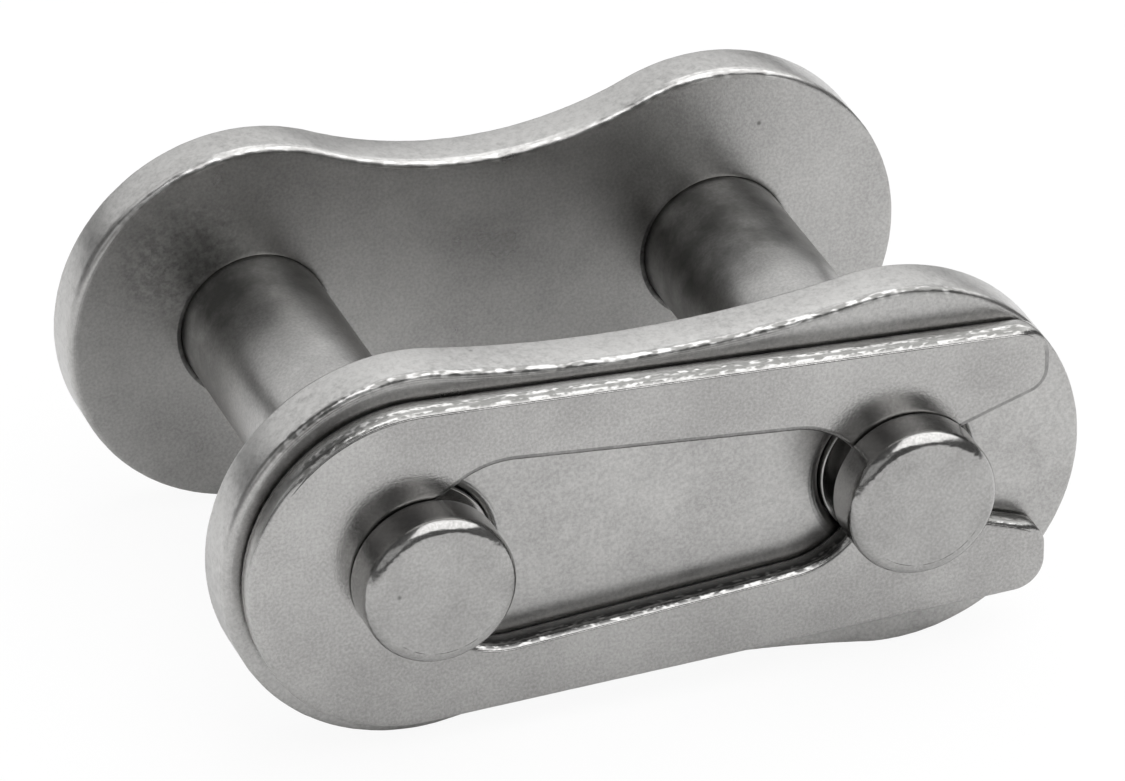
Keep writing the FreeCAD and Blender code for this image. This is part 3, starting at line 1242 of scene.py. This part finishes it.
@dataclass
class SpringClip:
    """The flat stamped clip that lies in the pins' grooves. Sizes are in millimetres."""

    finish: SatinSteel
    node: str = "spring_clip"
    body: Body = Body.CLIP
    seed: float = 31.0
    half_pitch: float = 6.35
    end_radius: float = 4.43
    end_set_back: float = 0.15
    taper_deg: float = 2.4
    tip_outer_round: float = 0.85
    tip_inner_round: float = 0.70
    seat_radius: float = 1.43
    funnel_deg: float = 31.0
    slot_mid_half_height: float = 2.27
    slot_taper_deg: float = 4.6
    slot_start_round: float = 2.40
    slot_end_reach: float = 2.95
    seat_entry_deg: float = 34.8
    throat_half_gap: float = 1.08
    throat_round: float = 0.25
    seat_corner_round: float = 0.18
    mouth_flare_deg: float = 18.5
    front_round: float = 0.15
    edge_round: float = 0.08
    land: float = 0.02
    step: float = 0.08
    round_steps: int = 6
    unevenness: float = 0.014
    grain: float = 0.26
    corner_step: float = 0.03
    throat_step: float = 0.04
    # Painted shade along the clip's upper arm, on edges that look down and to the opening.
    painted_shade_facing: Point = (0.55, -0.83)
    painted_shade_rise: float = 1.6
    slot_span: Point = (-8.0, 5.2)
    slot_half_height: float = 3.2
    top_reach: int = 4

    def seat_point(self, side: Side, degrees: float) -> Point:
        """A point on the wall of one pin's seat."""
        turn = math.radians(degrees)
        centre = side.value * self.half_pitch
        return centre + self.seat_radius * math.cos(turn), self.seat_radius * math.sin(turn)

    def slot_wall(self, x: float) -> Point:
        """A point on the slot's straight upper wall."""
        return x, self.slot_mid_half_height - x * math.tan(math.radians(self.slot_taper_deg))

    def slot_start(self) -> Point:
        """The corner between the left seat's sloping wall and the slot's straight wall."""
        funnel, taper = math.radians(self.funnel_deg), math.radians(self.slot_taper_deg)
        rise = self.slot_wall(-self.half_pitch)[1] - self.seat_radius / math.cos(funnel)
        return self.slot_wall(-self.half_pitch + rise / (math.tan(funnel) + math.tan(taper)))

    def slot_end_path(self) -> list[Point]:
        """The arc that rounds the slot's end, down to the right pin's seat."""
        start = Vector(self.slot_wall(self.half_pitch - self.slot_end_reach))
        end = Vector(self.seat_point(Side.RIGHT, 180 - self.seat_entry_deg))
        heading = (start - Vector(self.slot_start())).normalized()
        down = Vector((heading.y, -heading.x))
        chord = end - start
        radius = chord.dot(chord) / (2 * chord.dot(down))
        centre = start + down * radius
        first, last = start - centre, end - centre
        begin = math.atan2(first.y, first.x)
        turn = first.angle(last)
        return arc_points((centre.x, centre.y), radius, begin, begin - turn, self.step)

    def seat_path(self, throat_deg: float) -> list[Point]:
        """The right seat's upper wall, from the slot's end over the pin to the throat."""
        turn = math.radians(180 - self.seat_entry_deg), math.radians(throat_deg)
        return arc_points((self.half_pitch, 0), self.seat_radius, *turn, self.step)

    def upper_half(self, tip_x: float) -> list[Point]:
        """The upper half of the outline, from the closed end's seat round to the closed end.

        Args:
            tip_x: How far the tips reach along the pitch.

        Returns:
            The points from the left seat's middle, through the opening, over the tip and
            back along the outer side.
        """
        step = self.step
        throat_deg = math.degrees(math.asin(self.throat_half_gap / self.seat_radius))
        throat = self.seat_point(Side.RIGHT, throat_deg)
        flare = math.tan(math.radians(self.mouth_flare_deg))
        mouth = tip_x, self.throat_half_gap + (tip_x - throat[0]) * flare
        taper = math.radians(self.taper_deg)
        centre = -self.half_pitch - self.end_set_back
        side = centre + self.end_radius * math.sin(taper), self.end_radius * math.cos(taper)
        tip = tip_x, side[1] - (tip_x - side[0]) * math.tan(taper)
        funnel = math.radians(90 + self.funnel_deg)
        seat = arc_points((-self.half_pitch, 0), self.seat_radius, math.pi, funnel, step)
        slope = line_points(seat[-1], self.slot_start(), step)
        end_arc = self.slot_end_path()
        wall = line_points(self.slot_start(), end_arc[0], step)
        path = eased(seat[:-1] + slope, wall, self.slot_start_round, step)
        seat, corner = self.seat_path(throat_deg), self.seat_corner_round
        path = eased(path + end_arc[1:], seat, corner, self.corner_step)
        path = eased(path, line_points(throat, mouth, step), self.throat_round, self.throat_step)
        path = eased(path, line_points(mouth, tip, step), self.tip_inner_round, step)
        path = eased(path, line_points(tip, side, step), self.tip_outer_round, step)
        closed_end = arc_points((centre, 0), self.end_radius, math.pi / 2 - taper, math.pi, step)
        return path + closed_end[1:]

    def values(self, loop: Sequence[Point]) -> dict[str, list[float]]:
        """Where the outline looks up, where the slot's wall is, and where shade is painted.

        Args:
            loop: The whole outline.

        Returns:
            The values of the outline's points by name. Shade is painted on the upper arm, along
            the edges that look down or to the opening.
        """
        # Painted shade on the upper arm, along the edges that look down or to the opening.
        away = [self.painted_shade_rise * a for a in facing(loop, self.painted_shade_facing)]
        painted_shade = [min(1.0, max(0.0, a)) if z > 0 else 0.0 for a, (_, z) in zip(away, loop)]
        first, last = self.slot_span
        half = self.slot_half_height
        inner = [1.0 if first < x < last and abs(z) < half else 0.0 for x, z in loop]
        return {TOP: softened(top_edges(loop), self.top_reach), PAINTED_SHADE: painted_shade, INNER: inner}

    def build(self, tree: Any) -> Any:
        """Makes the clip in the place of its node.

        Args:
            tree: The stamping tree.

        Returns:
            The finished piece.
        """
        low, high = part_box(self.node)
        upper = self.upper_half(high.x / MM)
        loop = spaced(joined([upper, flipped(upper)]), self.step)
        sizes = sheet_inputs(self, low, high, (self.front_round, self.edge_round))
        return drawn(self.node + "_satin", [Wire(loop, values=self.values(loop))], tree, sizes)


# Studio


@dataclass(frozen=True)
class SoftBox:
    """A soft lamp that looks at the link. Sizes are in metres."""

    name: str
    towards: tuple[float, float, float]
    distance: float
    width: float
    height: float
    power: float

    def build(self, target: Vector) -> None:
        """Makes the lamp and turns it to the target."""
        data = bpy.data.lights.new(self.name, "AREA")
        data.shape = "RECTANGLE"
        data.size, data.size_y, data.energy = self.width, self.height, self.power
        lamp = bpy.data.objects.new(self.name, data)
        direction = Vector(self.towards).normalized()
        lamp.location = target + direction * self.distance
        lamp.rotation_mode = "QUATERNION"
        lamp.rotation_quaternion = direction.to_track_quat("Z", "Y")
        bpy.context.scene.collection.objects.link(lamp)


@dataclass
class Studio:
    """The pale floor, the soft light and the camera. Lengths are in metres."""

    azimuth_deg: float = -19.744
    elevation_deg: float = 28.880
    roll_deg: float = -0.166
    pixels_per_pitch: float = 497.76
    distance_pitches: float = 1 / 0.05441
    middle_px: Point = (560.31, 381.90)
    frame_px: Point = (1125.0, 781.0)
    pitch: float = 12.70 * MM
    gap_middle: tuple[float, float, float] = (0.0, 0.6 * MM, 5.0 * MM)
    sensor_mm: float = 36.0
    clip_start: float = 0.001
    clip_end: float = 20.0
    floor_half: float = 3.0
    floor_drop: float = 0.00005
    floor_colour: Colour = (0.92, 0.92, 0.92)
    sky: float = 0.14
    seen_share: float = 0.93
    mirrored_share: float = 0.12
    lamps: tuple[SoftBox, ...] = (
        SoftBox("overhead", (0.36, -0.14, 0.92), 0.30, 0.56, 0.40, 1.56),
        SoftBox("back", (0.14, 0.85, 0.64), 0.36, 0.76, 0.34, 0.74),
        SoftBox("left", (-0.72, -0.52, 0.47), 0.40, 0.46, 0.22, 0.15),
    )

    def camera(self) -> None:
        """Makes the camera at the photograph's angle and distance."""
        az, el = math.radians(self.azimuth_deg), math.radians(self.elevation_deg)
        roll = math.radians(self.roll_deg)
        look = Vector((-math.sin(az) * math.cos(el), math.cos(az) * math.cos(el), -math.sin(el)))
        level = look.cross(Vector((0, 0, 1))).normalized()
        rise = level.cross(look)
        right = level * math.cos(roll) + rise * math.sin(roll)
        up = rise * math.cos(roll) - level * math.sin(roll)
        scale = self.pitch / self.pixels_per_pitch
        across = (self.middle_px[0] - self.frame_px[0] / 2) * scale
        above = (self.frame_px[1] / 2 - self.middle_px[1]) * scale
        away = look * self.distance_pitches * self.pitch
        place = Vector(self.gap_middle) - away - right * across - up * above
        data = bpy.data.cameras.new("camera")
        data.sensor_width = self.sensor_mm
        length_px = self.pixels_per_pitch * self.distance_pitches
        data.lens = length_px * data.sensor_width / self.frame_px[0]
        data.clip_start, data.clip_end = self.clip_start, self.clip_end
        shown = bpy.data.objects.new("camera", data)
        turned = Matrix((right, up, -look)).transposed().to_4x4()
        shown.matrix_world = Matrix.Translation(place) @ turned
        bpy.context.scene.collection.objects.link(shown)
        bpy.context.scene.camera = shown

    def floor(self) -> None:
        """Makes the floor, white to the eye and in reflections, with the link's shadow."""
        half = self.floor_half
        mesh = bpy.data.meshes.new("floor")
        corners = [(-half, -half, 0.0), (half, -half, 0.0), (half, half, 0.0), (-half, half, 0.0)]
        mesh.from_pydata(corners, [], [(0, 1, 2, 3)])
        shown = bpy.data.objects.new("floor", mesh)
        shown.location.z = -self.floor_drop
        bpy.context.scene.collection.objects.link(shown)
        material = bpy.data.materials.new("pale_floor")
        material.use_nodes = True
        paint = NodeTree(material.node_tree)
        paint.tree.nodes.clear()
        rays = paint.add("ShaderNodeLightPath").outputs
        bent = paint.maths("MAXIMUM", rays["Is Glossy Ray"], rays["Is Transmission Ray"])
        seen = {0: rays["Is Camera Ray"], 1: self.seen_share, 2: bent * self.mirrored_share}
        share = paint.out("ShaderNodeMath", seen, operation="MULTIPLY_ADD")
        matt = paint.out("ShaderNodeBsdfDiffuse", {"Color": (*self.floor_colour, 1.0)})
        white = paint.out("ShaderNodeEmission", {"Strength": 1.0})
        mix = paint.out("ShaderNodeMixShader", {0: share, 1: matt, 2: white})
        paint.add("ShaderNodeOutputMaterial", {"Surface": mix})
        mesh.materials.append(material)

    def sky_light(self) -> None:
        """Lights the scene evenly from all round."""
        world = bpy.data.worlds.new("studio")
        world.use_nodes = True
        light = world.node_tree.nodes["Background"].inputs
        light["Strength"].default_value = self.sky
        light["Color"].default_value = (1.0, 1.0, 1.0, 1.0)
        bpy.context.scene.world = world

    def build(self) -> None:
        """Sets up the whole studio."""
        self.camera()
        self.floor()
        self.sky_light()
        for lamp in self.lamps:
            lamp.build(Vector(self.gap_middle))
        bpy.context.scene.view_settings.view_transform = "Standard"


# The clip's two rows of bright dots, painted highlight on its upper edge: how far back, and how
# strongly the dots show there.
CLIP_ROWS = (
    (0.0, 0.8),
    (0.03, 1.0),
    (0.08, 1.0),
    (0.13, 0.1),
    (0.20, 0.1),
    (0.30, 1.0),
    (0.42, 1.0),
    (0.56, 0.0),
)


@dataclass
class ConnectingLink:
    """The whole link, from the back plate to the clip."""

    back: StampedPlate = field(
        default_factory=lambda: StampedPlate(
            "back_plate",
            Body.PIN_LINK,
            SatinSteel(
                "satin_back_plate",
                light=(0.50, 0.495, 0.485),
                smooth=0.26,
                rough=0.36,
                dot=0.26,
                shade_between_dots_share=0.30,
                roll_reach=0.27,
                roll_height=0.145,
                painted_shade_share=0.8,
                smudge=(-8.3, 7.2),
                seed=1.0,
            ),
            3.68,
            1.985,
            0.11,
            11.0,
        )
    )
    cover: StampedPlate = field(
        default_factory=lambda: StampedPlate(
            "cover_plate",
            Body.COVER,
            SatinSteel(
                "satin_cover_plate",
                smooth=0.26,
                rough=0.36,
                shade_between_dots_share=0.75,
                painted_shade_share=0.3,
                seed=2.0,
            ),
            4.47,
            2.005,
            0.30,
            12.0,
        )
    )
    pins: tuple[TurnedPin, TurnedPin] = field(
        default_factory=lambda: (
            TurnedPin(Side.LEFT, pin_finish("satin_pin_left", (2.3, 4.4), 3.0), 21.0),
            TurnedPin(Side.RIGHT, pin_finish("satin_pin_right", (0.7, 2.3), 4.0), 22.0),
        )
    )
    clip: SpringClip = field(
        default_factory=lambda: SpringClip(
            SatinSteel(
                "satin_clip",
                smooth=0.16,
                rough=0.26,
                light=(0.48, 0.475, 0.465),
                dark=(0.30, 0.295, 0.29),
                cut_rough=0.42,
                dot=0.13,
                dot_height=0.014,
                dot_reach=0.75,
                dot_share=0.3,
                shade_between_dots_share=0.82,
                rows=CLIP_ROWS,
                roll_reach=0.85,
                roll_height=0.12,
                lip=0.16,
                torn_and_shade_start=0.82,
                inner_torn_and_shade_start=0.22,
                painted_shade_share=0.5,
                seed=5.0,
            )
        )
    )

    def build(self) -> None:
        """Makes every piece, rides it on its body and reports it."""
        stamping, turning = stamping_tree(), turning_tree()
        made = [
            (self.back, self.back.build(stamping), Slot.PLATE),
            (self.cover, self.cover.build(stamping), Slot.PLATE),
            (self.pins[0], self.pins[0].build(turning), Slot.PIN),
            (self.pins[1], self.pins[1].build(turning), Slot.PIN),
            (self.clip, self.clip.build(stamping), Slot.CLIP),
        ]
        for maker, piece, slot in made:
            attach(piece, maker.body.value)
            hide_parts(maker.node)
            LOG.info("%s: %d faces", piece.name, len(piece.data.polygons))


def pin_finish(name: str, stain_and_shade: tuple[float, float], seed: float) -> SatinSteel:
    """The finish of a turned pin, which goes darker and mottled between two places on +Y: partly
    a stain, partly painted shade between the plates.
    """
    return SatinSteel(
        name,
        grain=0.08,
        cloud=1.4,
        smooth=0.15,
        rough=0.25,
        bump=0.3,
        cut_share=0.0,
        dot_height=0.012,
        dot_share=0.0,
        shade_between_dots_share=0.0,
        roll_height=0.0,
        painted_shade_share=0.0,
        head_dull=0.22,
        turned=True,
        stem_start=-5.0,
        stem_rough=0.30,
        stain_and_shade_start=stain_and_shade[0],
        stain_and_shade_end=stain_and_shade[1],
        seed=seed,
    )


def clear_scene() -> None:
    """Removes whatever the new file holds."""
    for item in list(bpy.data.objects):
        bpy.data.objects.remove(item)


def main() -> None:
    """Loads the frame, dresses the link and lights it."""
    logging.basicConfig(level=logging.INFO, format="%(name)s: %(message)s")
    clear_scene()
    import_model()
    ConnectingLink().build()
    Studio().build()


if __name__ == "__main__":
    main()
